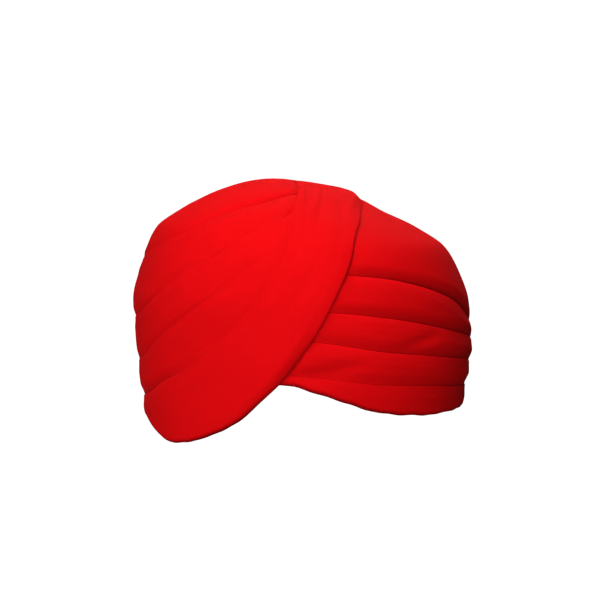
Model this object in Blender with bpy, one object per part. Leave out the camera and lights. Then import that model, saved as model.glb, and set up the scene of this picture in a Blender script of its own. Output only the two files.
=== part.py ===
"""Pagri turban: a long red cloth wound round the head in overlapping wraps and drawn up to a fan over the brow.

Metres, +Z up. The brow looks along -Y and +X is to the right of someone facing it. The origin is the centre of
the head opening, level with the brow.

Places on the turban are read on a chart. "bearing" is the angle in degrees round the head, 0 at the brow and
counted to +X. "rise" is 0 at brow level and 90 at the top. "turn" is the bearing counted from a line that
slants under the fan, so that the inner wraps start and end there. Each layer lies a stated depth under the
outside of the winding, and that depth is the sum of the cloth over it, so layers never meet.
"""

import bmesh
import bpy
import numpy as np

# Outside of the whole winding
OUTER_WIDTH = 0.242
OUTER_DEPTH = 0.272
CROWN_HEIGHT = 0.146

# Hollow for the head
HEAD_WIDTH = 0.158
HEAD_DEPTH = 0.198
HEAD_HEIGHT = 0.108
HEAD_FULLNESS = 0.8

# Wound cloth
FOLD_THICKNESS = 0.0027
BODY_THICKNESS = 0.0046
BODY_REACH = 0.034
DIP_REACH = 0.024
NOSE_LENGTH = 0.0030
LAYER_GAP = 0.0006
FAN_GAP = 0.0009
RIM_STEP = 0.0020

# Turns and bearings between which the cloth lies, in degrees
WRAP_START = -6
WRAP_END = 338
LAST_START = -14
LAST_END = 475
FAN_START = 330
FAN_FULL = 360
TAIL_START = 400
FAN_PRESS = 0.85
END_FADE = 14

# Facets
STATION_COLUMNS = ("from_turn", "to_turn", "steps")
STATIONS = (
    (-6, 90, 11),
    (90, 282, 19),
    (282, 338, 11),
)
LAST_STEP = 9
FAN_STEP = 4
TAIL_STATIONS = 10
FRONT_STATIONS = 4
LINE_ROOM = 1.0
ROWS_BETWEEN_SEAMS = (2, 3, 3, 3, 8)
LAST_ROWS = 7
HEAD_ROWS = 8
NOSE_LIMIT = 0.25
LIP_SHARE = 0.4

# Degrees over which the outside's slope is taken, and the highest rise where it is taken
SLOPE_STEP = 0.5
TOP_LIMIT = 89

# Outside of the winding at each rise, as shares of half the width and half the depth
SHELL_COLUMNS = ("rise", "left", "right", "front", "back")
SHELL = (
    (-24, -0.87, 0.83, -0.83, 0.83),
    (-10, -0.925, 0.925, -0.895, 0.91),
    (0, -0.955, 0.969, -0.93, 0.96),
    (12, -0.985, 1.010, -0.96, 1.00),
    (24, -1.002, 0.99, -0.965, 0.99),
    (33, -0.972, 0.935, -0.94, 0.93),
    (42, -0.916, 0.85, -0.89, 0.82),
    (50, -0.845, 0.668, -0.81, 0.68),
    (58, -0.71, 0.468, -0.71, 0.51),
    (66, -0.565, 0.325, -0.59, 0.32),
    (74, -0.42, 0.19, -0.47, 0.14),
    (82, -0.29, 0.01, -0.34, -0.03),
    (90, -0.16, -0.16, -0.20, -0.20),
)

# Bearing of the slanting front line at each rise
FRONT_COLUMNS = ("rise", "bearing")
FRONT_LINE = (
    (-24, 0),
    (5, 0),
    (15, 5),
    (28, 20),
    (44, 30),
    (53, 37),
    (60, 44),
    (67, 56),
    (75, 62),
    (90, 66),
)

# Rise of each inner wrap's folded upper edge, how thick that edge is and how thick the body is as shares, at
# turns round the head
WRAP_COLUMNS = ("turn", "wrap_1", "wrap_2", "wrap_3", "edge_1", "edge_2", "edge_3", "body")
WRAPS = (
    (-6, 34.5, 23.5, 15.5, 0.4, 0.4, 0.4, 0.4),
    (4, 34, 23, 15.1, 1.0, 1.0, 1.0, 0.9),
    (16, 32.9, 22, 13.8, 1.0, 1.0, 1.0, 1.0),
    (30, 30.8, 20.6, 12, 1.0, 1.0, 1.0, 1.0),
    (48, 27.5, 18.4, 10.4, 1.0, 0.9, 0.9, 1.0),
    (64, 24, 16.2, 9, 0.9, 0.8, 0.8, 1.0),
    (80, 19.6, 14.2, 7.7, 0.7, 0.6, 0.6, 0.95),
    (94, 17.2, 12.4, 6.2, 0.5, 0.5, 0.6, 0.9),
    (135, 17, 11.2, 5, 0.8, 0.8, 0.8, 1.0),
    (180, 22, 12.5, 5, 0.9, 0.9, 0.9, 1.0),
    (225, 29, 14.5, 5.4, 0.7, 0.8, 0.8, 1.0),
    (262, 36.5, 17.2, 6, 0.4, 0.5, 0.4, 0.95),
    (278, 41, 19.4, 6.6, 0.3, 0.5, 0.4, 0.95),
    (288, 45.5, 21.8, 7.6, 0.4, 0.7, 0.7, 0.9),
    (296, 50.5, 27.2, 9.6, 0.6, 0.8, 0.8, 0.85),
    (304, 59, 35.5, 13.6, 0.8, 0.6, 0.9, 0.75),
    (312, 64, 40.6, 19, 0.8, 0.35, 0.8, 0.6),
    (320, 67.3, 48, 29, 0.8, 0.15, 0.45, 0.45),
    (328, 68.5, 55.5, 40, 0.8, 0.12, 0.15, 0.35),
    (338, 69.3, 59.5, 47, 0.7, 0.12, 0.12, 0.3),
    (354, 34.5, 23.5, 15.5, 0.4, 0.4, 0.4, 0.4),
)

# Rise of the last wrap's lower and upper edge, its thickness at the upper edge and in the body as shares, and
# how far its lower edge stands proud as a share of its thickness, at bearings along its whole length: nearly
# once round, then up over the brow as the fan
LAST_COLUMNS = ("bearing", "low", "top", "edge", "body", "proud")
LAST = (
    (-14, 3.8, 7, 0.3, 0.4, 0),
    (1, 3.4, 6, 0.9, 0.8, 0),
    (9, 1.3, 5.4, 1.0, 1.0, 0),
    (16, -0.4, 4.8, 1.0, 1.0, 0),
    (31, -4.3, 3.2, 1.0, 1.0, 0),
    (49, -6.1, 2.2, 0.9, 1.0, 0),
    (66, -6.8, 1.1, 0.75, 0.95, 0),
    (84, -6.0, 0, 0.6, 0.9, 0),
    (135, -6.2, -1.0, 0.8, 1.0, 0),
    (180, -4.6, 0, 0.9, 1.0, 0),
    (225, -6.2, -1.8, 0.8, 1.0, 0),
    (270, -7.7, -3.6, 0.6, 0.9, 0),
    (286, -8.4, -2.6, 0.6, 0.9, 0),
    (298, -11.6, -0.8, 0.8, 0.9, 0),
    (310, -14.2, 2.8, 1.0, 0.85, 0),
    (323, -12.8, 6.5, 1.0, 0.8, 0),
    (334, -9.8, 12.5, 1.0, 0.75, 0.05),
    (344, -5.9, 18.8, 0.95, 0.7, 0.45),
    (352, -0.6, 27, 0.5, 0.65, 0.85),
    (360, 4.6, 38, 0.3, 0.65, 1),
    (366, 11.2, 46.5, 0.25, 0.65, 1),
    (372, 18, 53, 0.25, 0.65, 1),
    (382, 32.8, 63, 0.35, 0.65, 1),
    (390, 44.2, 67, 0.4, 0.65, 0.95),
    (406, 53, 73, 0.45, 0.68, 0.85),
    (424, 58.5, 77, 0.4, 0.72, 0.8),
    (440, 61.4, 79, 0.35, 0.75, 0.8),
    (458, 64.5, 80, 0.3, 0.55, 0.5),
    (475, 66, 80.5, 0.2, 0.3, 0.3),
)

# Soft valleys in the cloth: where each starts and ends, and its width and depth in metres
FOLD_COLUMNS = ("bearing_a", "rise_a", "bearing_b", "rise_b", "width", "depth")
FOLDS = (
    (11, 36, -1, 18, 0.007, 0.0020),
    (20, 66, 15, 46, 0.006, 0.0016),
    (34, 70, 26, 50, 0.006, 0.0014),
    (21, 8.5, 34, 12, 0.005, 0.0014),
    (45, 19, 60, 14, 0.005, 0.0014),
    (-40, 47, -20, 38, 0.007, 0.0014),
    (-52, 21, -32, 30, 0.006, 0.0012),
    (-50, 7, -30, 15, 0.006, 0.0012),
    (-45, 60, -10, 72, 0.008, 0.0014),
)

INNER_WRAPS = ("wrap_1", "wrap_2", "wrap_3")
METRES_PER_RISE = CROWN_HEIGHT * np.pi / 180
COLOURS = {
    "crown": (0.62, 0.010, 0.020),
    "wrap_1": (0.68, 0.010, 0.020),
    "wrap_2": (0.73, 0.011, 0.021),
    "wrap_3": (0.78, 0.012, 0.022),
    "last_wrap": (0.84, 0.013, 0.024),
}
CLOTH_ROUGHNESS = 0.9


def column(rows, names, name):
    """One named column of a table."""
    return np.array([row[names.index(name)] for row in rows], float)


def read_table(rows, names, name, at):
    """A smooth curve through one column against the table's first column, with no overshoot."""
    xs = column(rows, names, names[0])
    ys = column(rows, names, name)
    secants = np.diff(ys) / np.diff(xs)
    ahead, behind = secants[1:], secants[:-1]
    same_way = ahead * behind > 0
    inner = np.where(same_way, 2 * ahead * behind / np.where(same_way, ahead + behind, 1), 0)
    slopes = np.concatenate([secants[:1], inner, secants[-1:]])
    i = np.clip(np.searchsorted(xs, at) - 1, 0, len(xs) - 2)
    span = xs[i + 1] - xs[i]
    t = np.clip((at - xs[i]) / span, 0, 1)
    start = (2 * t**3 - 3 * t**2 + 1) * ys[i] + (t**3 - 2 * t**2 + t) * span * slopes[i]
    end = (3 * t**2 - 2 * t**3) * ys[i + 1] + (t**3 - t**2) * span * slopes[i + 1]
    return start + end


def ease(share):
    """From 0 to 1 with level ends."""
    t = np.clip(share, 0, 1)
    return t * t * (3 - 2 * t)


def bearing_of(turn, rise):
    lean = read_table(FRONT_LINE, FRONT_COLUMNS, "bearing", rise)
    return turn + lean * np.cos(np.radians(turn) / 2) ** 2


def wrap_value(name, turn):
    lap = (turn - WRAP_START) % 360 + WRAP_START
    return read_table(WRAPS, WRAP_COLUMNS, name, lap)


def last_value(name, bearing):
    return read_table(LAST, LAST_COLUMNS, name, bearing)


def thickness_from(edge, body, below_top):
    """Thin at the folded upper edge and full a reach below it."""
    full = ease(below_top * METRES_PER_RISE / BODY_REACH)
    return edge * FOLD_THICKNESS * (1 - full) + body * BODY_THICKNESS * full


def wrap_thickness(name, turn, rise):
    edge = wrap_value(name.replace("wrap", "edge"), turn)
    return thickness_from(edge, wrap_value("body", turn), wrap_value(name, turn) - rise)


def wrap_cover(name, turn, rise):
    """How deep an inner wrap presses whatever lies under it."""
    above = (rise - wrap_value(name, turn)) * METRES_PER_RISE / DIP_REACH
    return (wrap_thickness(name, turn, rise) + LAYER_GAP) * (1 - ease(above))


def last_thickness(bearing, rise):
    edge, body = last_value("edge", bearing), last_value("body", bearing)
    return thickness_from(edge, body, last_value("top", bearing) - rise)


def last_room(bearing, rise):
    gap = LAYER_GAP + (FAN_GAP - LAYER_GAP) * ease((bearing - FAN_START) / (FAN_FULL - FAN_START))
    return last_thickness(bearing, rise) + gap


def fan_lift(bearing, rise):
    """Share by which the fan stands proud: all of it at its free edge, none at its tucked one."""
    low, top = last_value("low", bearing), last_value("top", bearing)
    across = (rise - low) / (top - low)
    return last_value("proud", bearing) * (1 - ease(across / FAN_PRESS))


def last_cover(bearing, rise):
    """How deep the last wrap presses what lies under it, on the lap that this running bearing names."""
    above = (rise - last_value("top", bearing)) * METRES_PER_RISE / DIP_REACH
    below = (last_value("low", bearing) - rise) * METRES_PER_RISE / DIP_REACH
    share = (1 - ease(above)) * (1 - ease(below)) * (1 - fan_lift(bearing, rise))
    share = share * ease((bearing - LAST_START) / END_FADE + 1)
    share = share * (1 - ease((bearing - LAST_END) / END_FADE))
    return last_room(bearing, rise) * share


def depth_of(layer, turn, rise):
    """Depth of the outer face of the crown or an inner wrap."""
    over = INNER_WRAPS[INNER_WRAPS.index(layer) + 1 :] if layer in INNER_WRAPS else INNER_WRAPS
    depth = sum((wrap_cover(name, turn, rise) for name in over), np.zeros(np.broadcast(turn, rise).shape))
    bearing = (bearing_of(turn, rise) + 180) % 360 - 180
    return depth + last_cover(bearing, rise) + last_cover(bearing + 360, rise)


def last_depth(bearing, rise):
    return last_cover(bearing + 360, rise) - last_room(bearing, rise) * fan_lift(bearing, rise)


def fold_depth(bearing, rise):
    """Depth of the soft valleys at a place."""
    b = (np.asarray(bearing, float) + 180) % 360 - 180
    total = np.zeros(np.broadcast(b, rise).shape)
    for row in FOLDS:
        fold = dict(zip(FOLD_COLUMNS, row))
        squeeze = np.cos(np.radians((fold["rise_a"] + fold["rise_b"]) / 2)) * OUTER_WIDTH / 2 * np.pi / 180
        run_x = (fold["bearing_b"] - fold["bearing_a"]) * squeeze
        run_y = (fold["rise_b"] - fold["rise_a"]) * METRES_PER_RISE
        x = (b - fold["bearing_a"]) * squeeze
        y = (rise - fold["rise_a"]) * METRES_PER_RISE
        length = np.hypot(run_x, run_y)
        along = np.clip((x * run_x + y * run_y) / length**2, 0, 1)
        aside = (x * run_y - y * run_x) / length
        total = total + fold["depth"] * np.exp(-((aside / fold["width"]) ** 2)) * np.sin(np.pi * along) ** 2
    return total


def shell(bearing, rise):
    """A point on the outside of the winding."""
    left, right, front, back = (
        read_table(SHELL, SHELL_COLUMNS, name, rise) for name in ("left", "right", "front", "back")
    )
    angle = np.radians(bearing)
    x = ((left + right) / 2 + (right - left) / 2 * np.sin(angle)) * OUTER_WIDTH / 2
    y = ((front + back) / 2 - (back - front) / 2 * np.cos(angle)) * OUTER_DEPTH / 2
    z = CROWN_HEIGHT * np.sin(np.radians(rise))
    return np.stack(np.broadcast_arrays(x, y, z), axis=-1)


def place(bearing, rise, depth):
    """A point under the outside of the winding, measured square to it."""
    below = np.minimum(rise, TOP_LIMIT)
    across = shell(bearing + SLOPE_STEP, below) - shell(bearing - SLOPE_STEP, below)
    up = shell(bearing, below + SLOPE_STEP) - shell(bearing, below - SLOPE_STEP)
    outward = np.cross(across, up)
    outward = outward / np.linalg.norm(outward, axis=-1, keepdims=True)
    return shell(bearing, rise) - outward * (depth + fold_depth(bearing, rise))[..., None]


def rim_lines(turn):
    """Rises of the last wrap's rim and upper edge at a turn, brought back to their start under the fan."""
    lap = (turn - WRAP_START) % 360 + WRAP_START
    back = (lap - WRAP_END) / (WRAP_START + 360 - WRAP_END)
    lines = []
    for name in ("low", "top"):
        ahead = last_value(name, np.minimum(lap, WRAP_END))
        home = last_value(name, WRAP_START)
        lines.append(np.where(back > 0, ahead * (1 - back) + home * back, ahead))
    return lines


def wound_turns():
    """Turns of the stations along an inner wrap, closest where its edge climbs to the fan."""
    turns = [np.array([WRAP_START], float)]
    for start, end, steps in STATIONS:
        turns.append(np.linspace(start, end, steps + 1)[1:])
    return np.concatenate(turns)


def seam_rows(layer, turn):
    """Rises of the facet rows from a layer's lower edge to its top, following every seam outside it."""
    order = ("wrap_3", "wrap_2", "wrap_1", "crown")
    steps = order.index(layer) + 1
    rim, last_top = rim_lines(turn)
    knots = [rim + steps * RIM_STEP / METRES_PER_RISE, last_top]
    knots += [wrap_value(name, turn) for name in order[:steps] if name != "crown"]
    if layer == "crown":
        knots.append(np.full_like(turn, 90.0))
    for i in range(1, len(knots)):
        knots[i] = np.maximum(knots[i], knots[i - 1] + LINE_ROOM)
    rows = [knots[0]]
    for low, high, count in zip(knots, knots[1:], ROWS_BETWEEN_SEAMS):
        rows += [low + (high - low) * (i + 1) / count for i in range(count)]
    return np.stack(rows)


def section(rows):
    """Rises and shares of the thickness round a cloth section: out and up, over the fold, back down inside."""
    low, top = rows[0], rows[-1]
    nose = np.minimum(NOSE_LENGTH / METRES_PER_RISE, (top - low) * NOSE_LIMIT)
    middle = [low + nose + (row - low) * (1 - 2 * nose / (top - low)) for row in rows[1:-1]]
    bevel = 1 - np.cos(np.pi / 4)
    side = [low + nose * bevel, low + nose] + middle + [top - nose, top - nose * bevel]
    outer = [bevel / 2] + [0.0] * (len(middle) + 2) + [bevel / 2]
    inner = [1 - share for share in reversed(outer)]
    rises = [low] + side + [top] + side[::-1]
    shares = [1 / 2] + outer + [1 / 2] + inner
    return np.stack(rises), np.array(shares)[:, None]


def bridge(mesh_data, loops):
    """Faces between each loop of points and the next. Gives the first and the last loop of vertices."""
    rings = [[mesh_data.verts.new(point) for point in loop] for loop in loops]
    for ring, following in zip(rings, rings[1:]):
        for i in range(len(ring)):
            j = (i + 1) % len(ring)
            mesh_data.faces.new((ring[i], following[i], following[j], ring[j]))
    return rings[0], rings[-1]


def make_band(name, loops):
    """A closed band of cloth from its sections, with flat ends."""
    mesh_data = bmesh.new()
    start, end = bridge(mesh_data, loops)
    mesh_data.faces.new(start)
    mesh_data.faces.new(end[::-1])
    finish(name, mesh_data)


def finish(name, mesh_data):
    bmesh.ops.triangulate(mesh_data, faces=mesh_data.faces[:])
    bmesh.ops.recalc_face_normals(mesh_data, faces=mesh_data.faces[:])
    mesh = bpy.data.meshes.new(name)
    mesh_data.to_mesh(mesh)
    mesh_data.free()
    mesh.materials.append(cloth(name))
    mesh.shade_smooth()
    bpy.context.scene.collection.objects.link(bpy.data.objects.new(name, mesh))


def cloth(name):
    material = bpy.data.materials.new(name + "_cotton")
    material.use_nodes = True
    shader = material.node_tree.nodes["Principled BSDF"]
    shader.inputs["Base Color"].default_value = (*COLOURS[name], 1)
    shader.inputs["Roughness"].default_value = CLOTH_ROUGHNESS
    shader.inputs["Metallic"].default_value = 0
    return material


def make_wrap(name):
    """An inner wrap: once round the head from under the fan to under the fan."""
    turns = wound_turns()
    rises, shares = section(seam_rows(name, turns))
    depth = depth_of(name, turns, rises) + wrap_thickness(name, turns, rises) * shares
    points = place(bearing_of(turns, rises), rises, depth)
    make_band(name, points.swapaxes(0, 1))


def make_last_wrap():
    """The last wrap: nearly once round low down, then up over the brow as the fan."""
    ring = np.arange(LAST_START, FAN_START, LAST_STEP)
    fan = np.arange(FAN_START, TAIL_START, FAN_STEP)
    tail = np.linspace(TAIL_START, LAST_END, TAIL_STATIONS)
    bearings = np.concatenate([ring, fan, tail]).astype(float)
    rows = np.linspace(last_value("low", bearings), last_value("top", bearings), LAST_ROWS)
    rises, shares = section(rows)
    depth = last_depth(bearings, rises) + last_thickness(bearings, rises) * shares
    points = place(bearings, rises, depth)
    make_band("last_wrap", points.swapaxes(0, 1))


def hollow_point(bearing, share):
    """A point on the hollow for the head, from its mouth at share 0 to its top at share 1."""
    level = np.radians(90 * share)
    reach = np.cos(level) ** HEAD_FULLNESS
    x = HEAD_WIDTH / 2 * reach * np.sin(np.radians(bearing))
    y = -HEAD_DEPTH / 2 * reach * np.cos(np.radians(bearing))
    return np.stack(np.broadcast_arrays(x, y, HEAD_HEIGHT * np.sin(level)), axis=-1)


def make_crown():
    """The cloth wound first: a dome over the head, open below."""
    wound = wound_turns()
    under_fan = np.linspace(WRAP_END, WRAP_START + 360, FRONT_STATIONS + 1)[1:-1]
    turns = np.concatenate([wound, under_fan])
    rows = seam_rows("crown", turns)[:-1]
    outer = place(bearing_of(turns, rows), rows, depth_of("crown", turns, rows))
    mouth = hollow_point(turns, np.zeros_like(turns))
    mouth[:, 2] = outer[0, :, 2]
    lip = outer[0] * LIP_SHARE + mouth * (1 - LIP_SHARE) - np.array([0, 0, RIM_STEP / 2])
    inner = [hollow_point(turns, share) for share in np.arange(HEAD_ROWS) / HEAD_ROWS]
    inner[0][:, 2] = np.maximum(inner[0][:, 2], mouth[:, 2] + RIM_STEP)
    mesh_data = bmesh.new()
    top_ring, hollow_ring = bridge(mesh_data, list(outer[::-1]) + [lip, mouth] + inner)
    for centre, ring in ((shell(0.0, 90.0), top_ring), (hollow_point(0.0, 1.0), hollow_ring)):
        middle = mesh_data.verts.new(centre)
        for i in range(len(ring)):
            mesh_data.faces.new((middle, ring[i], ring[(i + 1) % len(ring)]))
    finish("crown", mesh_data)


def main():
    for old in list(bpy.data.objects):
        bpy.data.objects.remove(old, do_unlink=True)
    make_crown()
    for name in INNER_WRAPS:
        make_wrap(name)
    make_last_wrap()


main()
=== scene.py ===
"""Pagri turban: the dressed model, its studio and its camera.

The shape is worked out as in the CAD source and on the same chart, with finer rows, finer cloth detail and
tables that follow the photograph more closely.

"bearing" is the angle in degrees round the head, 0 at the brow. "rise" is 0 at brow level and 90 at the top.
"turn" is the bearing counted from a line that slants under the fan.
"""

import math

import bmesh
import bpy
import numpy as np
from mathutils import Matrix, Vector, noise


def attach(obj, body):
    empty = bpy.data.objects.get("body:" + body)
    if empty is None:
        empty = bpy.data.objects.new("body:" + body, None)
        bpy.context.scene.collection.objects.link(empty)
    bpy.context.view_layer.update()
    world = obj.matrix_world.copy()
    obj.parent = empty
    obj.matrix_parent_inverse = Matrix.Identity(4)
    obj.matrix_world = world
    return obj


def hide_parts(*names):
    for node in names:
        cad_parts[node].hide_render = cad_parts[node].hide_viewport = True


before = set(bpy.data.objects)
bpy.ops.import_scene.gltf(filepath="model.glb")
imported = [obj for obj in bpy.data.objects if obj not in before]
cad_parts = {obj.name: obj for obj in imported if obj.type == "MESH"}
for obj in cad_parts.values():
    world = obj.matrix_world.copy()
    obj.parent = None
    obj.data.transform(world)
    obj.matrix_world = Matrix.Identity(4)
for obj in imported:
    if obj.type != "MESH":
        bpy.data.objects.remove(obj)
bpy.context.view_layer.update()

# Outside of the whole winding
OUTER_WIDTH = 0.242
OUTER_DEPTH = 0.272
CROWN_HEIGHT = 0.146

# Hollow for the head
HEAD_WIDTH = 0.158
HEAD_DEPTH = 0.198
HEAD_HEIGHT = 0.108
HEAD_FULLNESS = 0.8

# Wound cloth
FOLD_THICKNESS = 0.0027
BODY_THICKNESS = 0.0046
BODY_REACH = 0.034
DIP_REACH = 0.009
NOSE_LENGTH = 0.0024
LAYER_GAP = 0.0003
FAN_GAP = 0.0004
RIM_STEP = 0.0020

# Turns and bearings between which the cloth lies, in degrees
WRAP_START = -6
WRAP_END = 344
LAST_START = -14
LAST_END = 475
FAN_START = 330
FAN_FULL = 360
END_FADE = 14

# Share of the fan's width, in from its free edge, over which it settles onto the wraps
FAN_PRESS = 0.85

# Turns over which an inner wrap's folded edge thins as it goes under the fan, and the share that it loses
TUCK_START = 312
TUCK_RUN = 16
TUCK_SHARE = 0.6

# Mesh fineness
WRAP_STATIONS = 420
CROWN_STATIONS = 420
RING_STATIONS = 300
FAN_STATIONS = 380
VISIBLE_ROWS = 30
HIDDEN_ROWS = 5
CROWN_TOP_ROWS = 84
LAST_ROWS = 56
NOSE_ROWS = 4
HEAD_ROWS = 24
LINE_ROOM = 1.0

# Degrees over which the outside's slope is taken, the highest rise where it is taken, the crown's last rise
SLOPE_STEP = 0.5
TOP_LIMIT = 89
TOP_RISE = 89.9

# Rows of the crown's lower lip as shares of the way in to the hollow, how many rows of the hollow keep clear
# of the lip, and how far up the hollow its last row is
LIP_SHARES = (0.15, 0.3, 0.5, 0.7, 0.85)
RAISED_ROWS = 3
HOLLOW_END = 0.999

# Outside of the winding at each rise, as shares of half the width and half the depth
SHELL_COLUMNS = ("rise", "left", "right", "front", "back")
SHELL = (
    (-24, -0.87, 0.83, -0.83, 0.83),
    (-10, -0.925, 0.925, -0.895, 0.91),
    (0, -0.955, 0.969, -0.93, 0.96),
    (12, -0.982, 1.004, -0.96, 1.00),
    (24, -0.996, 0.978, -0.965, 0.99),
    (33, -0.962, 0.922, -0.94, 0.93),
    (42, -0.908, 0.838, -0.89, 0.82),
    (50, -0.845, 0.668, -0.81, 0.68),
    (58, -0.71, 0.468, -0.71, 0.51),
    (66, -0.565, 0.325, -0.59, 0.32),
    (74, -0.42, 0.19, -0.47, 0.14),
    (82, -0.29, 0.01, -0.34, -0.03),
    (90, -0.16, -0.16, -0.20, -0.20),
)

# Bearing of the slanting front line at each rise
FRONT_COLUMNS = ("rise", "bearing")
FRONT_LINE = (
    (-24, 0),
    (5, 0),
    (15, 5),
    (28, 20),
    (44, 30),
    (53, 37),
    (60, 44),
    (67, 56),
    (75, 62),
    (90, 66),
)

# Rise of each inner wrap's folded upper edge, how thick that edge is and how thick the body is as shares, at
# turns round the head
# The edge shares also set how strong the painted highlight on each edge and the painted shade above it are
WRAP_COLUMNS = ("turn", "wrap_1", "wrap_2", "wrap_3", "edge_1", "edge_2", "edge_3", "body")
WRAPS = (
    (-6, 34.5, 23.5, 15.5, 0.4, 0.4, 0.4, 0.4),
    (4, 34, 23, 15.1, 0.8, 0.65, 0.55, 0.9),
    (16, 32.9, 22, 13.8, 0.9, 0.8, 0.65, 1.0),
    (30, 30.8, 20.6, 12, 1.0, 0.85, 0.7, 1.0),
    (48, 27.5, 18.4, 10.4, 1.1, 0.9, 0.75, 1.0),
    (64, 24, 16.2, 9, 1.1, 0.9, 0.75, 1.0),
    (80, 19.6, 14.2, 7.7, 0.9, 0.8, 0.7, 0.95),
    (94, 17.2, 12.4, 6.2, 0.6, 0.6, 0.65, 0.9),
    (135, 17, 11.2, 5, 0.7, 0.7, 0.7, 1.0),
    (180, 22, 12.5, 5, 0.8, 0.8, 0.7, 1.0),
    (225, 29, 14.5, 5.4, 0.7, 0.7, 0.6, 1.0),
    (262, 36.5, 17.2, 6, 0.3, 0.5, 0.4, 0.95),
    (278, 41, 19.4, 6.6, 0.15, 0.45, 0.4, 0.95),
    (288, 45.5, 21.8, 7.6, 0.2, 0.5, 0.45, 0.9),
    (296, 50.5, 27.2, 9.6, 0.3, 0.38, 0.45, 0.85),
    (304, 59, 35.5, 13.6, 0.4, 0.16, 0.45, 0.75),
    (312, 64, 40.6, 19, 0.5, 0.06, 0.38, 0.6),
    (320, 67.3, 48, 29, 0.65, 0.05, 0.14, 0.45),
    (328, 68.5, 55.5, 40, 0.8, 0.05, 0.05, 0.35),
    (344, 69.8, 61.5, 50, 0.8, 0.05, 0.05, 0.3),
    (354, 34.5, 23.5, 15.5, 0.4, 0.4, 0.4, 0.4),
)

# Rise of the last wrap's lower and upper edge, its thickness at the upper edge and in the body as shares, how
# far its lower edge stands proud as a share of its thickness, how much that edge is rolled under and how dark
# the painted shade along it is, on its own hem and on the cloth just under it, at bearings along its whole
# length:
# nearly once round, then up over the brow as a fan
# The edge share also sets how strong the painted highlight on the upper edge and the painted shade above it
# are
LAST_COLUMNS = ("bearing", "low", "top", "edge", "body", "proud", "roll", "line")
LAST = (
    (-14, 3.8, 7, 0.3, 0.4, 0, 0, 0.8),
    (1, 3.4, 6, 0.4, 0.8, 0, 0, 0.8),
    (9, 1.5, 5.4, 0.4, 1.0, 0, 0, 0.8),
    (16, -0.1, 4.8, 0.4, 1.0, 0, 0, 0.8),
    (31, -4.1, 3.2, 0.45, 1.0, 0, 0, 0.8),
    (49, -6.0, 2.2, 0.55, 1.0, 0, 0, 0.6),
    (66, -6.3, 1.1, 0.6, 0.95, 0, 0, 0.5),
    (84, -6.0, 0, 0.6, 0.9, 0, 0, 0.4),
    (135, -6.2, -1.0, 0.7, 1.0, 0, 0, 0.4),
    (180, -4.6, 0, 0.7, 1.0, 0, 0, 0.4),
    (225, -6.2, -1.8, 0.7, 1.0, 0, 0, 0.4),
    (270, -7.7, -3.6, 0.5, 0.9, 0, 0, 0.4),
    (286, -8.4, -2.6, 0.7, 0.9, 0, 0, 0.4),
    (298, -11.6, -0.8, 0.7, 0.9, 0, 0, 0.4),
    (310, -14.2, 2.8, 0.6, 0.85, 0, 0, 0.6),
    (323, -13.1, 6.5, 0.28, 0.8, 0, 0.1, 0.8),
    (334, -10.4, 12.5, 0.1, 0.7, 0.05, 0.2, 0.9),
    (344, -6.7, 18.8, 0.06, 0.6, 0.45, 0.5, 0.9),
    (352, -1.2, 27, 0.06, 0.55, 0.85, 0.9, 0.8),
    (360, 5.0, 38, 0.05, 0.5, 1, 1, 0.6),
    (366, 11.8, 46.5, 0.05, 0.45, 1, 0.8, 0.8),
    (372, 19.1, 54.5, 0.06, 0.45, 1, 0.4, 0.9),
    (382, 33.2, 68.5, 0.16, 0.45, 1, 0.3, 0.95),
    (390, 44.6, 75.5, 0.3, 0.45, 0.95, 0.4, 0.85),
    (406, 53.4, 80, 0.35, 0.5, 0.9, 0.7, 0.65),
    (424, 59.6, 82.5, 0.25, 0.6, 0.9, 1, 0.45),
    (440, 63, 83.5, 0.2, 0.75, 0.9, 1, 0.3),
    (458, 66.5, 83.5, 0.12, 0.5, 0.6, 1, 0.2),
    (475, 70.5, 82.5, 0.05, 0.1, 0.1, 1, 0),
)

# Soft folds in the cloth: where each starts and ends, and its width and depth in metres, with a depth less
# than 0 for a ridge
FOLD_COLUMNS = ("bearing_a", "rise_a", "bearing_b", "rise_b", "width", "depth")
FOLDS = (
    (11, 36, -1, 18, 0.006, 0.0007),
    (66, 84, 12, 50, 0.0022, -0.0008),
    (60, 82, 7, 40, 0.0022, 0.0006),
    (50, 70, 13, 42, 0.0022, 0.0004),
    (62, 71, 14, 38, 0.0034, 0.0006),
    (18, 44, 1, 20, 0.0040, 0.0004),
    (-42, 52, 26, 73, 0.0050, 0.0012),
    (8, 54.6, 16, 60, 0.0012, 0.0021),
    (-2, 4.8, 33, 9.4, 0.0055, 0.0024),
    (32, 11.8, 64, 16.8, 0.0042, 0.0018),
    (-40, 47, -20, 38, 0.007, 0.0008),
    (-52, 21, -32, 30, 0.006, 0.0008),
    (-50, 7, -30, 15, 0.006, 0.0008),
    (-10, -6.5, 14, 21.5, 0.004, 0.0012),
    (36, 79, 12, 49, 0.0022, -0.0012),
)

# Loose swells, fine creases that run along the cloth, and the waves of the hem, in metres
SWELL_LENGTH = 0.034
SWELL_HEIGHT = 0.0004
CREASE_LENGTH = 0.010
CREASE_STRETCH = 9
CREASE_HEIGHT = 0.00016
HEM_WAVE_LENGTH = 0.012
HEM_WAVE_HEIGHT = 0.0008

# Depth of cover under which the cloth is plain, and how far in from an edge its detail grows, in metres
BARE_COVER = 0.0012
EDGE_CALM = 0.004

# Share of its thickness that an upper edge loses to rounding and a lower one to rolling, and how far in
EDGE_ROUND = 0.7
ROUND_REACH = 0.0090
ROLL_SHARE = 0.75
ROLL_REACH = 0.0080

# How far the painted highlight on a folded edge, the painted line in a crease, the painted shade beside it
# and the painted shade on the hem reach, and how dark that painted shade is above an upper edge and under a
# lower one
HIGHLIGHT_REACH = 0.0055
LINE_REACH = 0.0016
SHADE_REACH = 0.0080
HEM_SHADE_REACH = 0.0040
TOP_SHADE = 0.45
LOW_SHADE = 0.12

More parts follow.
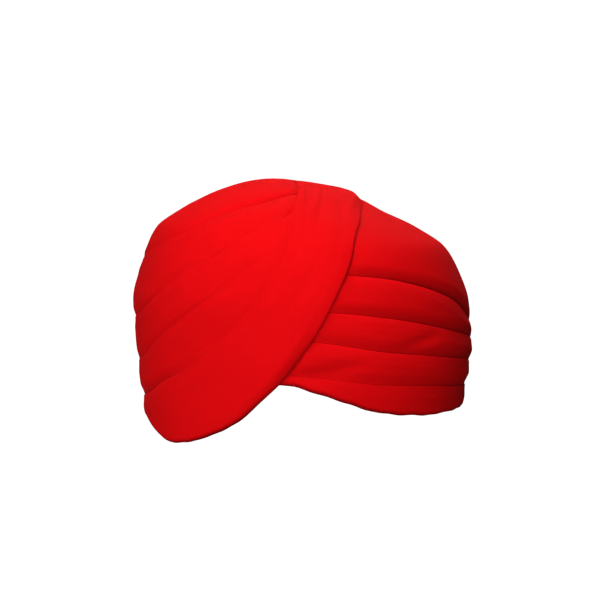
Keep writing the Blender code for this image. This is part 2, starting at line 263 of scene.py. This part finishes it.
# Seed of each piece's noise, and how far one step of a seed moves it
SEEDS = {"crown": 1, "wrap_1": 10, "wrap_2": 13, "wrap_3": 16, "last_wrap": 31}
SEED_SHIFT = (7.3, 3.1, 5.7)

# Camera and studio
CAMERA_BEARING = 6
CAMERA_LIFT = 3
CAMERA_DISTANCE = 1.8
VIEW_CENTRE = (-0.0018, 0.0, 0.0593)
VIEW_WIDTH = 0.4284
FILM_WIDTH = 36
FLOOR_LEVEL = -0.32
FLOOR_CENTRE = 0.01
FLOOR_RADIUS = 3.0
WALL_BEND = 1.4
WALL_HEIGHT = 4.0
WALL_SIDES = 96
BEND_STEPS = 12
PAPER = (0.95, 0.95, 0.95, 1)
PAPER_GLOW = 0.92
SKY_ABOVE = 0.20
SKY_BELOW = 0.03
SKY_TURN = 0.5
LIGHT_COLUMNS = ("name", "bearing", "lift", "distance", "size", "power")
LIGHTS = (
    ("key", 1, 58, 0.70, 0.35, 2.35),
    ("top", -8, 82, 0.50, 0.25, 0.70),
    ("left_fill", -74, -4, 1.0, 0.5, 2.4),
    ("front_fill", 0, -8, 1.15, 0.5, 7.9),
    ("back_fill", 170, 45, 1.5, 0.8, 5),
)

# Red cotton: its surface, colour and thread spacing in metres, and the share of its colour in the darkest and
# the lightest threads and in the painted shade of creases and hems
SURFACE = {"Roughness": 0.8, "Specular IOR Level": 0.025, "Sheen Weight": 0.006, "Sheen Roughness": 0.3}
SHEEN_TINT = (1.0, 0.55, 0.5, 1)
RED = (0.80, 0.0022, 0.0042)
THREAD = 0.00062
DARK_THREADS = 0.82
LIGHT_THREADS = 1.12
CREASE_SHADE = 0.09

# Red, green and blue of the painted highlight on a folded edge as shares of the cloth's, and how much shows
# between slubs
HIGHLIGHT_SHARES = (1.25, 2, 2)
HIGHLIGHT_BASE = 0.2

# Noise cells to a metre along and across a slub, in the patches of shade and in the crumpled surface
SLUB_ALONG = 60
SLUB_ACROSS = 1400
PATCH_CELLS = 9
CRUMPLE_CELLS = 140

# How much the weave, the slubs and the patches change the shade
WEAVE_TONE = 0.35
SLUB_TONE = 0.45
PATCH_TONE = 0.4

# Strength and height in metres of the raised threads, the slubs' share in them, and of the crumpled surface
THREAD_BUMP = (0.35, 0.00022)
SLUB_BUMP = 0.8
CRUMPLE_BUMP = (0.16, 0.0010)

INNER_WRAPS = ("wrap_1", "wrap_2", "wrap_3")
METRES_PER_RISE = CROWN_HEIGHT * np.pi / 180


def column(rows, names, name):
    """One named column of a table."""
    return np.array([row[names.index(name)] for row in rows], float)


def read_table(rows, names, name, at):
    """A smooth curve through one column against the table's first column, with no overshoot."""
    xs = column(rows, names, names[0])
    ys = column(rows, names, name)
    secants = np.diff(ys) / np.diff(xs)
    ahead, behind = secants[1:], secants[:-1]
    same_way = ahead * behind > 0
    inner = np.where(same_way, 2 * ahead * behind / np.where(same_way, ahead + behind, 1), 0)
    slopes = np.concatenate([secants[:1], inner, secants[-1:]])
    i = np.clip(np.searchsorted(xs, at) - 1, 0, len(xs) - 2)
    span = xs[i + 1] - xs[i]
    t = np.clip((at - xs[i]) / span, 0, 1)
    start = (2 * t**3 - 3 * t**2 + 1) * ys[i] + (t**3 - 2 * t**2 + t) * span * slopes[i]
    end = (3 * t**2 - 2 * t**3) * ys[i + 1] + (t**3 - t**2) * span * slopes[i + 1]
    return start + end


def ease(share):
    """From 0 to 1 with level ends."""
    t = np.clip(share, 0, 1)
    return t * t * (3 - 2 * t)


def lap_of(turn):
    """A turn brought into the one lap that the tables of the inner wraps cover."""
    return (turn - WRAP_START) % 360 + WRAP_START


def way_back(lap):
    """Share of the way from the wraps' end back to their start under the fan, less than 0 before that end."""
    return (lap - WRAP_END) / (WRAP_START + 360 - WRAP_END)


def from_brow(bearing):
    """A bearing brought to between -180 and 180."""
    return (bearing + 180) % 360 - 180


def bearing_of(turn, rise):
    """Bearing of a place that is given by its turn."""
    lean = read_table(FRONT_LINE, FRONT_COLUMNS, "bearing", rise)
    return turn + lean * np.cos(np.radians(turn) / 2) ** 2


def wrap_value(name, turn):
    """One column of the inner wraps' table at a turn."""
    return read_table(WRAPS, WRAP_COLUMNS, name, lap_of(turn))


def edge_share(name, turn):
    """How thick an inner wrap's folded edge is at a turn, as a share."""
    return wrap_value(name.replace("wrap", "edge"), turn)


def last_value(name, bearing):
    """One column of the last wrap's table at a bearing along its length."""
    return read_table(LAST, LAST_COLUMNS, name, bearing)


def thickness_from(edge, body, below_top):
    """Thin at the folded upper edge and full a reach below it."""
    full = ease(below_top * METRES_PER_RISE / BODY_REACH)
    return edge * FOLD_THICKNESS * (1 - full) + body * BODY_THICKNESS * full


def wrap_thickness(name, turn, rise):
    """Thickness of an inner wrap, whose edge is thinner where it is tucked under the fan."""
    lap = lap_of(turn)
    tucked = ease((lap - TUCK_START) / TUCK_RUN) * (1 - ease(way_back(lap)))
    edge = edge_share(name, turn) * (1 - TUCK_SHARE * tucked)
    return thickness_from(edge, wrap_value("body", turn), wrap_value(name, turn) - rise)


def wrap_cover(name, turn, rise):
    """How deep an inner wrap presses whatever lies under it."""
    above = (rise - wrap_value(name, turn)) * METRES_PER_RISE / DIP_REACH
    return (wrap_thickness(name, turn, rise) + LAYER_GAP) * (1 - ease(above))


def last_thickness(bearing, rise):
    """Thickness of the last wrap."""
    edge, body = last_value("edge", bearing), last_value("body", bearing)
    return thickness_from(edge, body, last_value("top", bearing) - rise)


def last_room(bearing, rise):
    """Thickness of the last wrap with the gap under it, which is wider under the fan."""
    gap = LAYER_GAP + (FAN_GAP - LAYER_GAP) * ease((bearing - FAN_START) / (FAN_FULL - FAN_START))
    return last_thickness(bearing, rise) + gap


def fan_lift(bearing, rise):
    """Share by which the fan stands proud: all of it at its free edge, none at its tucked one."""
    low, top = last_value("low", bearing), last_value("top", bearing)
    across = (rise - low) / (top - low)
    return last_value("proud", bearing) * (1 - ease(across / FAN_PRESS))


def last_cover(bearing, rise):
    """How deep the last wrap presses what lies under it, on the lap that this running bearing names."""
    above = (rise - last_value("top", bearing)) * METRES_PER_RISE / DIP_REACH
    below = (last_value("low", bearing) - rise) * METRES_PER_RISE / DIP_REACH
    share = (1 - ease(above)) * (1 - ease(below)) * (1 - fan_lift(bearing, rise))
    share = share * ease((bearing - LAST_START) / END_FADE + 1)
    share = share * (1 - ease((bearing - LAST_END) / END_FADE))
    return last_room(bearing, rise) * share


def wraps_over(layer):
    """The inner wraps that lie over the crown or over another inner wrap."""
    return INNER_WRAPS[INNER_WRAPS.index(layer) + 1 :] if layer in INNER_WRAPS else INNER_WRAPS


def depth_of(layer, turn, rise):
    """Depth of the outer face of the crown or an inner wrap."""
    covers = (wrap_cover(name, turn, rise) for name in wraps_over(layer))
    depth = sum(covers, np.zeros(np.broadcast(turn, rise).shape))
    bearing = from_brow(bearing_of(turn, rise))
    return depth + last_cover(bearing, rise) + last_cover(bearing + 360, rise)


def last_depth(bearing, rise):
    """Depth of the last wrap's outer face, which stands out of the winding along the fan's free edge."""
    return last_cover(bearing + 360, rise) - last_room(bearing, rise) * fan_lift(bearing, rise)


def painted_shade_by(strength, distance, share):
    """How dark the painted shade beside an edge is, at a distance out from it: a thin line in a wide faint
    shade.
    """
    line = 1 - ease(abs(distance) / LINE_REACH)
    shade = share * (1 - ease(distance / SHADE_REACH)) * (distance > 0)
    return np.clip(strength, 0, 1) ** 2 * np.maximum(line, shade)


def painted_crease_shade(layer, turn, rise):
    """Share of painted shade at a place on a layer's outer face, from the edges that lie over it."""
    shade = np.zeros(np.broadcast(turn, rise).shape)
    for name in wraps_over(layer):
        above = (rise - wrap_value(name, turn)) * METRES_PER_RISE
        shade = np.maximum(shade, painted_shade_by(edge_share(name, turn), above, TOP_SHADE))
    bearing = from_brow(bearing_of(turn, rise))
    for lap in (bearing, bearing + 360):
        shade = np.maximum(shade, last_wrap_painted_shade(lap, rise))
    return shade


def last_wrap_painted_shade(bearing, rise):
    """Share of painted shade, as of a shadow that the last wrap's edges cast, on what lies under it, on the
    lap of this bearing.
    """
    low, top = last_value("low", bearing), last_value("top", bearing)
    above = (rise - top) * METRES_PER_RISE
    below = (low - rise) * METRES_PER_RISE * edge_slant(bearing, low)
    over = painted_shade_by(last_value("edge", bearing), above, TOP_SHADE)
    under = painted_shade_by(last_value("line", bearing), below, LOW_SHADE)
    there = (bearing > LAST_START) & (bearing < LAST_END)
    return np.where(there, np.maximum(over, under), 0)


def fold_depth(bearing, rise):
    """Depth of the soft folds at a place."""
    b = from_brow(np.asarray(bearing, float))
    total = np.zeros(np.broadcast(b, rise).shape)
    for row in FOLDS:
        fold = dict(zip(FOLD_COLUMNS, row))
        squeeze = np.cos(np.radians((fold["rise_a"] + fold["rise_b"]) / 2)) * OUTER_WIDTH / 2 * np.pi / 180
        run_x = (fold["bearing_b"] - fold["bearing_a"]) * squeeze
        run_y = (fold["rise_b"] - fold["rise_a"]) * METRES_PER_RISE
        x = (b - fold["bearing_a"]) * squeeze
        y = (rise - fold["rise_a"]) * METRES_PER_RISE
        length = np.hypot(run_x, run_y)
        along = np.clip((x * run_x + y * run_y) / length**2, 0, 1)
        aside = (x * run_y - y * run_x) / length
        total = total + fold["depth"] * np.exp(-((aside / fold["width"]) ** 2)) * np.sin(np.pi * along) ** 2
    return total


def shell(bearing, rise):
    """A point on the outside of the winding."""
    left, right, front, back = (
        read_table(SHELL, SHELL_COLUMNS, name, rise) for name in ("left", "right", "front", "back")
    )
    angle = np.radians(bearing)
    x = ((left + right) / 2 + (right - left) / 2 * np.sin(angle)) * OUTER_WIDTH / 2
    y = ((front + back) / 2 - (back - front) / 2 * np.cos(angle)) * OUTER_DEPTH / 2
    z = CROWN_HEIGHT * np.sin(np.radians(rise))
    return np.stack(np.broadcast_arrays(x, y, z), axis=-1)


def place(bearing, rise, depth):
    """A point under the outside of the winding, measured square to it."""
    below = np.minimum(rise, TOP_LIMIT)
    across = shell(bearing + SLOPE_STEP, below) - shell(bearing - SLOPE_STEP, below)
    up = shell(bearing, below + SLOPE_STEP) - shell(bearing, below - SLOPE_STEP)
    outward = np.cross(across, up)
    outward = outward / np.linalg.norm(outward, axis=-1, keepdims=True)
    return shell(bearing, rise) - outward * (depth + fold_depth(bearing, rise))[..., None]


def rim_lines(turn):
    """Rises of the last wrap's rim and upper edge at a turn, brought back to their start under the fan."""
    lap = lap_of(turn)
    back = way_back(lap)
    lines = []
    for name in ("low", "top"):
        ahead = last_value(name, np.minimum(lap, WRAP_END))
        home = last_value(name, WRAP_START)
        lines.append(np.where(back > 0, ahead * (1 - back) + home * back, ahead))
    return lines


def seam_rows(layer, turn):
    """Rises of the mesh rows from a layer's lower edge to its top, following every seam outside it."""
    order = ("wrap_3", "wrap_2", "wrap_1", "crown")
    steps = order.index(layer) + 1
    rim, last_top = rim_lines(turn)
    knots = [rim + steps * RIM_STEP / METRES_PER_RISE, last_top]
    knots += [wrap_value(name, turn) for name in order[:steps] if name != "crown"]
    if layer == "crown":
        knots.append(np.full_like(turn, 90.0))
    for i in range(1, len(knots)):
        knots[i] = np.maximum(knots[i], knots[i - 1] + LINE_ROOM)
    counts = [HIDDEN_ROWS] * (len(knots) - 2) + [CROWN_TOP_ROWS if layer == "crown" else VISIBLE_ROWS]
    rows = [knots[0]]
    for low, high, count in zip(knots, knots[1:], counts):
        rows += [low + (high - low) * (i + 1) / count for i in range(count)]
    return np.stack(rows)


def edge_slant(along, edge):
    """Share of a step in rise that is square to an edge, for an edge that climbs along the head."""
    climb = np.gradient(edge, axis=-1) / np.gradient(along, axis=-1) * METRES_PER_RISE
    level = OUTER_WIDTH / 2 * np.cos(np.radians(edge)) * np.pi / 180
    return 1 / np.hypot(1, climb / level)


def section(along, rows):
    """Rises and shares of the thickness round a section: out and up, over the fold, back down inside."""
    low, top = rows[0], rows[-1]
    nose = NOSE_LENGTH / METRES_PER_RISE
    low_nose = np.minimum(nose / edge_slant(along, low), (top - low) / 4)
    top_nose = np.minimum(nose / edge_slant(along, top), (top - low) / 4)
    span = (top - low - low_nose - top_nose) / (top - low)
    middle = [low + low_nose + (row - low) * span for row in rows]
    angles = [math.pi / 2 * i / NOSE_ROWS for i in range(1, NOSE_ROWS)]
    up = [low + low_nose * (1 - math.cos(a)) for a in angles]
    over = [top - top_nose * (1 - math.sin(a)) for a in angles]
    start_shares = [(1 - math.sin(a)) / 2 for a in angles]
    end_shares = [(1 - math.cos(a)) / 2 for a in angles]
    side = up + middle + over
    outer = start_shares + [0.0] * len(middle) + end_shares
    inner = [1 - share for share in reversed(outer)]
    rises = [low] + side + [top] + side[::-1]
    shares = [0.5] + outer + [0.5] + inner
    return np.stack(rises), np.array(shares)[:, None]


def noise_at(points, length, seed):
    """Smooth noise about -1 to 1 at each point."""
    scaled = points.reshape(-1, 3) / length + seed * np.array(SEED_SHIFT)
    values = np.array([noise.noise(Vector(p)) for p in scaled])
    return values.reshape(points.shape[:-1])


def swells(along, across, seed):
    """Height of the loose swells and of the fine creases that run along the cloth."""
    flat = np.zeros_like(across)
    swell = noise_at(np.stack([along, across, flat], axis=-1), SWELL_LENGTH, seed) * SWELL_HEIGHT
    crease = noise_at(np.stack([along / CREASE_STRETCH, across, flat], axis=-1), CREASE_LENGTH, seed + 1)
    return swell + crease * CREASE_HEIGHT


def build_mesh(name, points, uv, marks, closed, loops_closed=False):
    """A mesh from a grid of points: rows round the section, columns along the cloth."""
    stations, count = points.shape[:2]
    index = np.arange(stations * count).reshape(stations, count)
    following = np.roll(index, -1, axis=0) if loops_closed else index[1:]
    this = index if loops_closed else index[:-1]
    if closed:
        a, b, c, d = this, following, np.roll(following, -1, axis=1), np.roll(this, -1, axis=1)
    else:
        a, b, c, d = this[:, :-1], following[:, :-1], following[:, 1:], this[:, 1:]
    faces = np.stack([a, b, c, d], axis=-1).reshape(-1, 4).tolist()
    if closed and not loops_closed:
        half = count // 2
        for station, flip in ((index[0], True), (index[-1], False)):
            for i in range(half):
                facing = (station[(count - i - 1) % count], station[(count - i) % count])
                quad = list(dict.fromkeys(int(v) for v in (station[i], station[i + 1], *facing)))
                faces.append(quad[::-1] if flip else quad)
    mesh = bpy.data.meshes.new(name)
    mesh.from_pydata(points.reshape(-1, 3).tolist(), [], faces)
    mesh.update()
    corners = np.empty(len(mesh.loops), np.int64)
    mesh.loops.foreach_get("vertex_index", corners)
    layer = mesh.uv_layers.new(name="cloth")
    layer.data.foreach_set("uv", uv.reshape(-1, 2)[corners].astype(np.float32).ravel())
    for mark, values in marks.items():
        attribute = mesh.attributes.new(mark, "FLOAT", "POINT")
        attribute.data.foreach_set("value", values.reshape(-1).astype(np.float32))
    piece = bpy.data.objects.new(name, mesh)
    bpy.context.scene.collection.objects.link(piece)
    return piece


def point_out(piece):
    """Turn a closed mesh's faces outwards and shade it smooth."""
    data = bmesh.new()
    data.from_mesh(piece.data)
    bmesh.ops.recalc_face_normals(data, faces=data.faces[:])
    data.to_mesh(piece.data)
    data.free()
    piece.data.shade_smooth()


def run_lengths(points):
    """Metres along and across the cloth at each point of the grid."""
    along = np.linalg.norm(np.diff(points.mean(axis=1), axis=0), axis=-1)
    along = np.concatenate([[0], np.cumsum(along)])[:, None] * np.ones(points.shape[1])
    across = np.linalg.norm(np.diff(points, axis=1), axis=-1)
    across = np.concatenate([np.zeros((len(points), 1)), np.cumsum(across, axis=1)], axis=1)
    return along, across


def make_band(name, path, bearings, rises, shares, cover, thickness, edge, roll, shade, seed):
    """A closed band of cloth, with the fine detail on its bare outer face."""
    low, top = rises[0], rises.max(axis=0)
    from_low = (rises - low) * edge_slant(path, low) * METRES_PER_RISE
    from_top = (top - rises) * edge_slant(path, top) * METRES_PER_RISE
    from_edge = np.minimum(from_low, from_top)
    depth = cover + thickness * shares
    along, across = run_lengths(place(bearings, rises, depth).swapaxes(0, 1))
    bare = 1 - ease(np.maximum(cover, 0) / BARE_COVER)
    height = swells(along, across, seed).T * bare * ease(from_edge / EDGE_CALM)
    rounded = EDGE_ROUND * (1 - ease(from_top / ROUND_REACH))
    rolled = ROLL_SHARE * roll * (1 - ease(from_low / ROLL_REACH))
    height = height - thickness * np.maximum(rounded, rolled)
    points = place(bearings, rises, depth - height * (1 - shares)).swapaxes(0, 1)
    # Painted highlight along the folded upper edge, and the painted shade passed in from the edges over it
    edge_highlight = np.clip(edge, 0, 1) ** 2 * (1 - ease(from_top / HIGHLIGHT_REACH))
    marks = {"painted_edge_highlight": edge_highlight.T, "crease": shade.T}
    piece = build_mesh(name, points, np.stack([along, across], axis=-1), marks, closed=True)
    point_out(piece)
    return piece


def make_wrap(name):
    """One inner wrap, round the head and up to the top of the brow."""
    turns = np.linspace(WRAP_START, WRAP_END, WRAP_STATIONS)
    rises, shares = section(turns, seam_rows(name, turns))
    cover = depth_of(name, turns, rises)
    thickness = wrap_thickness(name, turns, rises)
    bearings = bearing_of(turns, rises)
    edge = edge_share(name, turns)
    shade = painted_crease_shade(name, turns, rises)
    return make_band(
        name + "_cloth", turns, bearings, rises, shares, cover, thickness, edge, 0.0, shade, SEEDS[name]
    )


def make_last_wrap(name):
    """The last wrap: the lowest band and its rim, then the fan over the brow."""
    seed = SEEDS[name]
    ring = np.linspace(LAST_START, FAN_START, RING_STATIONS, endpoint=False)
    fan = np.linspace(FAN_START, LAST_END, FAN_STATIONS)
    bearings = np.concatenate([ring, fan])
    low, top = last_value("low", bearings), last_value("top", bearings)
    run = np.radians(bearings) * OUTER_WIDTH / 2
    wave = noise_at(np.stack([run, 0 * run, 0 * run], axis=-1), HEM_WAVE_LENGTH, seed + 5)
    rim = low + wave * HEM_WAVE_HEIGHT / METRES_PER_RISE * (1 - last_value("proud", bearings))
    rises, shares = section(bearings, np.linspace(rim, top, LAST_ROWS))
    depth = last_depth(bearings, rises)
    thickness = last_thickness(bearings, rises)
    edge, roll = last_value("edge", bearings), last_value("roll", bearings)
    from_rim = (rises - rises[0]) * edge_slant(bearings, low) * METRES_PER_RISE
    # Painted shade along the last wrap's own hem, as of its rolled underside turned from the light
    hem_shade = (1 - ease(from_rim / HEM_SHADE_REACH)) * (1 - ease((bearings - FAN_FULL) / END_FADE))
    hem_shade = hem_shade * last_value("line", bearings)
    shade = np.maximum(hem_shade, last_wrap_painted_shade(bearings + 360, rises))
    return make_band(
        name + "_cloth", bearings, bearings, rises, shares, depth, thickness, edge, roll, shade, seed
    )


def hollow_point(bearing, share):
    """A point on the hollow for the head, from its mouth at share 0 to its top at share 1."""
    level = np.radians(90 * share)
    reach = np.cos(level) ** HEAD_FULLNESS
    x = HEAD_WIDTH / 2 * reach * np.sin(np.radians(bearing))
    y = -HEAD_DEPTH / 2 * reach * np.cos(np.radians(bearing))
    return np.stack(np.broadcast_arrays(x, y, HEAD_HEIGHT * np.sin(level)), axis=-1)


def lip_row(outside, mouth, share):
    """A row of the crown's lower lip, which sags a little between the outside and the hollow's mouth."""
    sag = np.array([0, 0, RIM_STEP / 2 * math.sin(math.pi * share)])
    return outside * (1 - share) + mouth * share - sag


def make_crown(name):
    """The crown: its outside from the lip to the top, and the hollow for the head inside it."""
    turns = np.linspace(WRAP_START, WRAP_START + 360, CROWN_STATIONS + 1)[:-1]
    rows = seam_rows("crown", turns)
    rows[-1] = TOP_RISE
    cover = depth_of("crown", turns, rows)
    bearings = bearing_of(turns, rows)
    plain = place(bearings, rows, cover).swapaxes(0, 1)
    along, across = run_lengths(plain)
    height = swells(along, across, SEEDS[name]).T * (1 - ease(cover / BARE_COVER))
    outer = place(bearings, rows, cover - height)
    mouth = hollow_point(turns, np.zeros_like(turns))
    mouth[:, 2] = outer[0, :, 2]
    lip = [lip_row(outer[0], mouth, share) for share in LIP_SHARES]
    inner = [hollow_point(turns, share) for share in np.linspace(0, 1, HEAD_ROWS + 1)[:-1]]
    below = mouth
    for row in inner[:RAISED_ROWS]:
        row[:, 2] = np.maximum(row[:, 2], below[:, 2] + RIM_STEP)
        below = row
    inner.append(hollow_point(turns, np.full_like(turns, HOLLOW_END)))
    points = np.stack(list(outer[::-1]) + lip + [mouth] + inner).swapaxes(0, 1)
    across = run_lengths(points)[1]
    around = np.radians(turns)[:, None] * OUTER_WIDTH / 2 * np.ones(points.shape[1])
    uv = np.stack([around, across], axis=-1)
    shade = np.zeros(points.shape[:2])
    shade[:, : len(outer)] = painted_crease_shade("crown", turns, rows)[::-1].T
    marks = {"painted_edge_highlight": np.zeros(points.shape[:2]), "crease": shade}
    piece = build_mesh(name + "_cloth", points, uv, marks, closed=False, loops_closed=True)
    close_poles(piece, points.shape)
    point_out(piece)
    return piece


def close_poles(piece, shape):
    """Close the crown's two poles, outside and inside."""
    stations, count = shape[:2]
    data = bmesh.new()
    data.from_mesh(piece.data)
    data.verts.ensure_lookup_table()
    for column_index in (0, count - 1):
        data.faces.new([data.verts[s * count + column_index] for s in range(stations)])
    data.to_mesh(piece.data)
    data.free()


def cotton(name, colour, thread):
    """Matt plain-woven cotton: threads both ways, slubs, faint patches, painted highlights on folded edges,
    painted shade in creases and hems.
    """
    material = bpy.data.materials.new(name)
    material.use_nodes = True
    nodes, links = material.node_tree.nodes, material.node_tree.links
    shader = nodes["Principled BSDF"]
    for socket, value in SURFACE.items():
        shader.inputs[socket].default_value = value
    shader.inputs["Sheen Tint"].default_value = SHEEN_TINT
    uv = nodes.new("ShaderNodeUVMap")
    uv.uv_map = "cloth"
    body = nodes.new("ShaderNodeTexCoord")

    def threads(direction):
        node = nodes.new("ShaderNodeTexWave")
        node.bands_direction = direction
        node.inputs["Scale"].default_value = math.pi / 10 / thread
        node.inputs["Distortion"].default_value = 0.6
        node.inputs["Detail"].default_value = 1.0
        node.inputs["Detail Scale"].default_value = 0.4
        links.new(uv.outputs["UV"], node.inputs["Vector"])
        return node.outputs["Fac"]

    def combine(operation, first, second):
        node = nodes.new("ShaderNodeMath")
        node.operation = operation
        for socket, value in zip(node.inputs, (first, second)):
            if isinstance(value, (int, float)):
                socket.default_value = value
            else:
                links.new(value, socket)
        return node.outputs[0]

    def cloud(scale, detail, source):
        mapping = nodes.new("ShaderNodeMapping")
        mapping.inputs["Scale"].default_value = scale
        links.new(source, mapping.inputs["Vector"])
        node = nodes.new("ShaderNodeTexNoise")
        node.inputs["Scale"].default_value = 1
        node.inputs["Detail"].default_value = detail
        links.new(mapping.outputs["Vector"], node.inputs["Vector"])
        return node.outputs["Fac"]

    def blend(first, second, factor):
        node = nodes.new("ShaderNodeMix")
        node.data_type = "RGBA"
        for socket, value in (("A", first), ("B", second)):
            if isinstance(value, tuple):
                node.inputs[socket].default_value = (*value, 1)
            else:
                links.new(value, node.inputs[socket])
        links.new(factor, node.inputs["Factor"])
        return node.outputs["Result"]

    def raised(height, strength, distance, normal):
        node = nodes.new("ShaderNodeBump")
        node.inputs["Strength"].default_value = strength
        node.inputs["Distance"].default_value = distance
        links.new(height, node.inputs["Height"])
        if normal:
            links.new(normal, node.inputs["Normal"])
        return node.outputs["Normal"]

    weave = combine("MULTIPLY", threads("X"), threads("Y"))
    slub = cloud((SLUB_ALONG, SLUB_ACROSS, 1), 3, uv.outputs["UV"])
    slub_across = cloud((SLUB_ACROSS, SLUB_ALONG, 1), 3, uv.outputs["UV"])
    thread_tone = combine("ADD", combine("MULTIPLY", slub, 0.5), combine("MULTIPLY", slub_across, 0.5))
    patches = cloud((PATCH_CELLS,) * 3, 2, body.outputs["Object"])
    shade = combine("MULTIPLY", combine("SUBTRACT", patches, 0.5), PATCH_TONE)
    tone = combine("ADD", combine("MULTIPLY", weave, WEAVE_TONE), combine("MULTIPLY", thread_tone, SLUB_TONE))
    dark = tuple(c * DARK_THREADS for c in colour)
    light = tuple(min(c * LIGHT_THREADS, 1) for c in colour)
    dyed = blend(dark, light, combine("ADD", tone, shade))
    # Painted highlight on the folded upper edges, broken up by the slubs
    edge_highlight = nodes.new("ShaderNodeAttribute")
    edge_highlight.attribute_name = "painted_edge_highlight"
    highlit = tuple(min(c * share, 1) for c, share in zip(colour, HIGHLIGHT_SHARES))
    highlight = combine("MULTIPLY", edge_highlight.outputs["Fac"], combine("ADD", slub, HIGHLIGHT_BASE))
    # Painted shade: the crease mark darkens the colour towards its shadow in creases and along the hem
    crease = nodes.new("ShaderNodeAttribute")
    crease.attribute_name = "crease"
    shadow = tuple(c * CREASE_SHADE for c in colour)
    links.new(blend(blend(dyed, highlit, highlight), shadow, crease.outputs["Fac"]), shader.inputs["Base Color"])
    threads_height = combine("ADD", weave, combine("MULTIPLY", thread_tone, SLUB_BUMP))
    crumple_height = cloud((CRUMPLE_CELLS,) * 3, 4, body.outputs["Object"])
    woven = raised(threads_height, *THREAD_BUMP, None)
    links.new(raised(crumple_height, *CRUMPLE_BUMP, woven), shader.inputs["Normal"])
    return material


def make_stage():
    """A pale round floor that curves up into a wall all round, lit so that it stays nearly white."""
    profile = [(FLOOR_CENTRE, FLOOR_LEVEL), (FLOOR_RADIUS, FLOOR_LEVEL)]
    for i in range(1, BEND_STEPS + 1):
        angle = math.pi / 2 * i / BEND_STEPS
        reach = FLOOR_RADIUS + WALL_BEND * math.sin(angle)
        profile.append((reach, FLOOR_LEVEL + WALL_BEND * (1 - math.cos(angle))))
    profile.append((FLOOR_RADIUS + WALL_BEND, FLOOR_LEVEL + WALL_BEND + WALL_HEIGHT))
    sides = WALL_SIDES
    angles = [2 * math.pi * j / sides for j in range(sides)]
    verts = [(r * math.cos(angle), r * math.sin(angle), z) for r, z in profile for angle in angles]
    faces = [tuple(range(sides))]
    for i in range(len(profile) - 1):
        for j in range(sides):
            k = (j + 1) % sides
            faces.append((i * sides + j, (i + 1) * sides + j, (i + 1) * sides + k, i * sides + k))
    mesh = bpy.data.meshes.new("studio_floor")
    mesh.from_pydata(verts, [], faces)
    mesh.shade_smooth()
    floor = bpy.data.objects.new("studio_floor", mesh)
    bpy.context.scene.collection.objects.link(floor)
    floor.visible_diffuse = False
    floor.visible_glossy = False
    material = bpy.data.materials.new("studio_paper")
    material.use_nodes = True
    shader = material.node_tree.nodes["Principled BSDF"]
    shader.inputs["Base Color"].default_value = PAPER
    shader.inputs["Roughness"].default_value = 0.95
    shader.inputs["Emission Color"].default_value = (1, 1, 1, 1)
    shader.inputs["Emission Strength"].default_value = PAPER_GLOW
    mesh.materials.append(material)


def seen_from(bearing, lift, distance, centre):
    """A place at a bearing and a height in degrees from a centre, and the turn that faces back to it."""
    b, v = math.radians(bearing), math.radians(lift)
    back = Vector((math.sin(b) * math.cos(v), -math.cos(b) * math.cos(v), math.sin(v)))
    return Vector(centre) + back * distance, back.to_track_quat("Z", "Y").to_euler()


def make_studio():
    """The stage, a sky that is dimmer below, plain colour handling and the lights."""
    make_stage()
    world = bpy.data.worlds.new("studio_world")
    world.use_nodes = True
    nodes, links = world.node_tree.nodes, world.node_tree.links
    direction = nodes.new("ShaderNodeTexCoord")
    split = nodes.new("ShaderNodeSeparateXYZ")
    fade = nodes.new("ShaderNodeMapRange")
    fade.inputs["From Min"].default_value = -SKY_TURN
    fade.inputs["From Max"].default_value = SKY_TURN
    fade.inputs["To Min"].default_value = SKY_BELOW
    fade.inputs["To Max"].default_value = SKY_ABOVE
    nodes["Background"].inputs["Color"].default_value = (1, 1, 1, 1)
    links.new(direction.outputs["Generated"], split.inputs["Vector"])
    links.new(split.outputs["Z"], fade.inputs["Value"])
    links.new(fade.outputs["Result"], nodes["Background"].inputs["Strength"])
    scene = bpy.context.scene
    scene.world = world
    scene.view_settings.view_transform = "Standard"
    scene.view_settings.look = "None"
    for row in LIGHTS:
        lamp = dict(zip(LIGHT_COLUMNS, row))
        data = bpy.data.lights.new(lamp["name"], "AREA")
        data.shape = "DISK"
        data.size = lamp["size"]
        data.energy = lamp["power"]
        light = bpy.data.objects.new(lamp["name"], data)
        light.location, light.rotation_euler = seen_from(
            lamp["bearing"], lamp["lift"], lamp["distance"], VIEW_CENTRE
        )
        scene.collection.objects.link(light)


def make_camera():
    """The camera at the photograph's angle."""
    data = bpy.data.cameras.new("photo_camera")
    data.sensor_width = FILM_WIDTH
    data.lens = FILM_WIDTH * CAMERA_DISTANCE / VIEW_WIDTH
    data.clip_end = 50
    camera = bpy.data.objects.new("photo_camera", data)
    camera.location, camera.rotation_euler = seen_from(
        CAMERA_BEARING, CAMERA_LIFT, CAMERA_DISTANCE, VIEW_CENTRE
    )
    bpy.context.scene.collection.objects.link(camera)
    bpy.context.scene.camera = camera


make_studio()
make_camera()
pieces = {"crown": make_crown("crown")}
for wrap in INNER_WRAPS:
    pieces[wrap] = make_wrap(wrap)
pieces["last_wrap"] = make_last_wrap("last_wrap")
for node, piece in pieces.items():
    piece.data.materials.append(cotton(node + "_red_cotton", RED, THREAD))
    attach(piece, "root")
    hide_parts(node)
